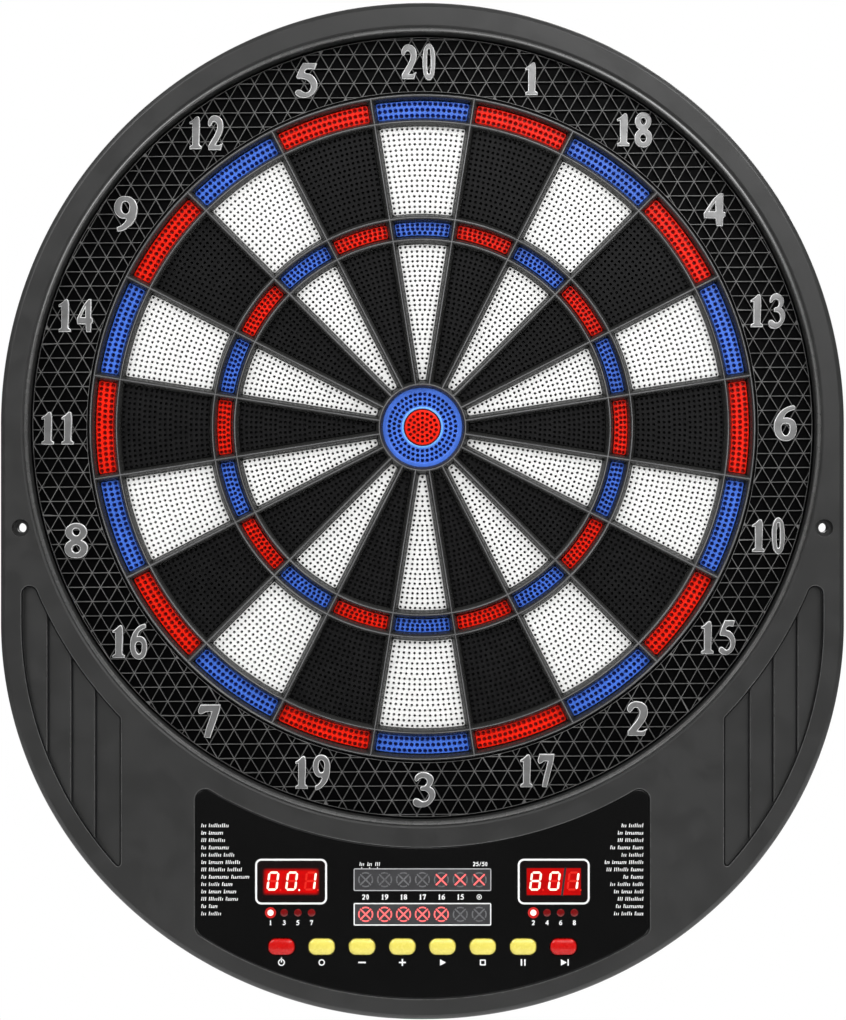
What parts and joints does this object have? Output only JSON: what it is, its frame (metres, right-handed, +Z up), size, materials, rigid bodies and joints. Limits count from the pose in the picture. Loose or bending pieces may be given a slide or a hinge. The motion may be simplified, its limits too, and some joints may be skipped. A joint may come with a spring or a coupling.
{
  "type": "electronic dartboard",
  "caption": "Wall-hung electronic dartboard: round soft-tip target with sprung scoring segments, catch ring, display panel and keys in a dark moulded housing.",
  "frame": {"origin": "on the bull's axis at the rear face, where the board lies against the wall", "axes": "+Z up as it hangs, the target faces -Y, +X to the right as the player sees it"},
  "size_m": [0.4426, 0.0346, 0.5323],
  "materials": {
    "housing": "fine satin texture",
    "black_moulding": "satin black",
    "segment_white": "satin",
    "segment_black": "satin",
    "segment_blue": "satin",
    "segment_red": "satin",
    "number_silver": "silver paint on plastic",
    "bull_blue": "satin",
    "bull_red": "satin",
    "backing": "satin",
    "film": "smooth",
    "rubber": "matte",
    "lens": "polished",
    "print_white": "screen print",
    "board": "solder mask",
    "display": "tinted, lit from inside",
    "button_yellow": "smooth",
    "button_red": "smooth",
    "speaker_cone": "paper cone in a steel basket",
    "steel": "zinc plated"
  },
  "bodies": {
    "housing": {"backing_plate": "backing", "board_ribbon": "film", "button_pad": "rubber", "case_screw_1": "steel", "case_screw_2": "steel", "case_screw_3": "steel", "case_screw_4": "steel", "case_screw_5": "steel", "case_screw_6": "steel", "case_screw_7": "steel", "case_screw_8": "steel", "catch_ring": "black_moulding", "control_lens": "lens", "display_board": "board", "front_bezel": "housing", "left_lamp_guide": "display", "left_score_display": "display", "lower_mark_display": "display", "main_board": "board", "membrane_tail": "film", "rear_cover": "housing", "right_lamp_guide": "display", "right_score_display": "display", "rubber_mat": "rubber", "sensor_membrane": "film", "speaker": "speaker_cone", "speaker_retainer": "black_moulding", "spider": "black_moulding", "supply_jack": "black_moulding", "upper_mark_display": "display"},
    "inner_bull": {"inner_bull": "bull_red"},
    "outer_bull": {"outer_bull": "bull_blue"},
    "segments_01": {"segments_01": "segment_black"},
    "segments_02": {"segments_02": "segment_white"},
    "segments_03": {"segments_03": "segment_white"},
    "segments_04": {"segments_04": "segment_black"},
    "segments_05": {"segments_05": "segment_black"},
    "segments_06": {"segments_06": "segment_black"},
    "segments_07": {"segments_07": "segment_white"},
    "segments_08": {"segments_08": "segment_white"},
    "segments_09": {"segments_09": "segment_black"},
    "segments_10": {"segments_10": "segment_white"},
    "segments_11": {"segments_11": "segment_black"},
    "segments_12": {"segments_12": "segment_white"},
    "segments_13": {"segments_13": "segment_white"},
    "segments_14": {"segments_14": "segment_white"},
    "segments_15": {"segments_15": "segment_black"},
    "segments_16": {"segments_16": "segment_black"},
    "segments_17": {"segments_17": "segment_black"},
    "segments_18": {"segments_18": "segment_white"},
    "segments_19": {"segments_19": "segment_black"},
    "segments_20": {"segments_20": "segment_white"},
    "button_1": {"button_1": "button_red"},
    "button_2": {"button_2": "button_yellow"},
    "button_3": {"button_3": "button_yellow"},
    "button_4": {"button_4": "button_yellow"},
    "button_5": {"button_5": "button_yellow"},
    "button_6": {"button_6": "button_yellow"},
    "button_7": {"button_7": "button_yellow"},
    "button_8": {"button_8": "button_red"}
  },
  "joints": [
    {"name": "inner_bull_press", "type": "slide", "parent": "housing", "child": "inner_bull", "axis": [0, 1, 0], "range_m": [0, 0.0008], "stiffness_N_per_m": 2500},
    {"name": "outer_bull_press", "type": "slide", "parent": "housing", "child": "outer_bull", "axis": [0, 1, 0], "range_m": [0, 0.0008], "stiffness_N_per_m": 2500},
    {"name": "segments_01_press", "type": "slide", "parent": "housing", "child": "segments_01", "axis": [0, 1, 0], "range_m": [0, 0.0008], "stiffness_N_per_m": 2500},
    {"name": "segments_02_press", "type": "slide", "parent": "housing", "child": "segments_02", "axis": [0, 1, 0], "range_m": [0, 0.0008], "stiffness_N_per_m": 2500},
    {"name": "segments_03_press", "type": "slide", "parent": "housing", "child": "segments_03", "axis": [0, 1, 0], "range_m": [0, 0.0008], "stiffness_N_per_m": 2500},
    {"name": "segments_04_press", "type": "slide", "parent": "housing", "child": "segments_04", "axis": [0, 1, 0], "range_m": [0, 0.0008], "stiffness_N_per_m": 2500},
    {"name": "segments_05_press", "type": "slide", "parent": "housing", "child": "segments_05", "axis": [0, 1, 0], "range_m": [0, 0.0008], "stiffness_N_per_m": 2500},
    {"name": "segments_06_press", "type": "slide", "parent": "housing", "child": "segments_06", "axis": [0, 1, 0], "range_m": [0, 0.0008], "stiffness_N_per_m": 2500},
    {"name": "segments_07_press", "type": "slide", "parent": "housing", "child": "segments_07", "axis": [0, 1, 0], "range_m": [0, 0.0008], "stiffness_N_per_m": 2500},
    {"name": "segments_08_press", "type": "slide", "parent": "housing", "child": "segments_08", "axis": [0, 1, 0], "range_m": [0, 0.0008], "stiffness_N_per_m": 2500},
    {"name": "segments_09_press", "type": "slide", "parent": "housing", "child": "segments_09", "axis": [0, 1, 0], "range_m": [0, 0.0008], "stiffness_N_per_m": 2500},
    {"name": "segments_10_press", "type": "slide", "parent": "housing", "child": "segments_10", "axis": [0, 1, 0], "range_m": [0, 0.0008], "stiffness_N_per_m": 2500},
    {"name": "segments_11_press", "type": "slide", "parent": "housing", "child": "segments_11", "axis": [0, 1, 0], "range_m": [0, 0.0008], "stiffness_N_per_m": 2500},
    {"name": "segments_12_press", "type": "slide", "parent": "housing", "child": "segments_12", "axis": [0, 1, 0], "range_m": [0, 0.0008], "stiffness_N_per_m": 2500},
    {"name": "segments_13_press", "type": "slide", "parent": "housing", "child": "segments_13", "axis": [0, 1, 0], "range_m": [0, 0.0008], "stiffness_N_per_m": 2500},
    {"name": "segments_14_press", "type": "slide", "parent": "housing", "child": "segments_14", "axis": [0, 1, 0], "range_m": [0, 0.0008], "stiffness_N_per_m": 2500},
    {"name": "segments_15_press", "type": "slide", "parent": "housing", "child": "segments_15", "axis": [0, 1, 0], "range_m": [0, 0.0008], "stiffness_N_per_m": 2500},
    {"name": "segments_16_press", "type": "slide", "parent": "housing", "child": "segments_16", "axis": [0, 1, 0], "range_m": [0, 0.0008], "stiffness_N_per_m": 2500},
    {"name": "segments_17_press", "type": "slide", "parent": "housing", "child": "segments_17", "axis": [0, 1, 0], "range_m": [0, 0.0008], "stiffness_N_per_m": 2500},
    {"name": "segments_18_press", "type": "slide", "parent": "housing", "child": "segments_18", "axis": [0, 1, 0], "range_m": [0, 0.0008], "stiffness_N_per_m": 2500},
    {"name": "segments_19_press", "type": "slide", "parent": "housing", "child": "segments_19", "axis": [0, 1, 0], "range_m": [0, 0.0008], "stiffness_N_per_m": 2500},
    {"name": "segments_20_press", "type": "slide", "parent": "housing", "child": "segments_20", "axis": [0, 1, 0], "range_m": [0, 0.0008], "stiffness_N_per_m": 2500},
    {"name": "button_1_press", "type": "slide", "parent": "housing", "child": "button_1", "axis": [0, 1, 0], "range_m": [0, 0.0012], "stiffness_N_per_m": 1000},
    {"name": "button_2_press", "type": "slide", "parent": "housing", "child": "button_2", "axis": [0, 1, 0], "range_m": [0, 0.0012], "stiffness_N_per_m": 1000},
    {"name": "button_3_press", "type": "slide", "parent": "housing", "child": "button_3", "axis": [0, 1, 0], "range_m": [0, 0.0012], "stiffness_N_per_m": 1000},
    {"name": "button_4_press", "type": "slide", "parent": "housing", "child": "button_4", "axis": [0, 1, 0], "range_m": [0, 0.0012], "stiffness_N_per_m": 1000},
    {"name": "button_5_press", "type": "slide", "parent": "housing", "child": "button_5", "axis": [0, 1, 0], "range_m": [0, 0.0012], "stiffness_N_per_m": 1000},
    {"name": "button_6_press", "type": "slide", "parent": "housing", "child": "button_6", "axis": [0, 1, 0], "range_m": [0, 0.0012], "stiffness_N_per_m": 1000},
    {"name": "button_7_press", "type": "slide", "parent": "housing", "child": "button_7", "axis": [0, 1, 0], "range_m": [0, 0.0012], "stiffness_N_per_m": 1000},
    {"name": "button_8_press", "type": "slide", "parent": "housing", "child": "button_8", "axis": [0, 1, 0], "range_m": [0, 0.0012], "stiffness_N_per_m": 1000}
  ]
}
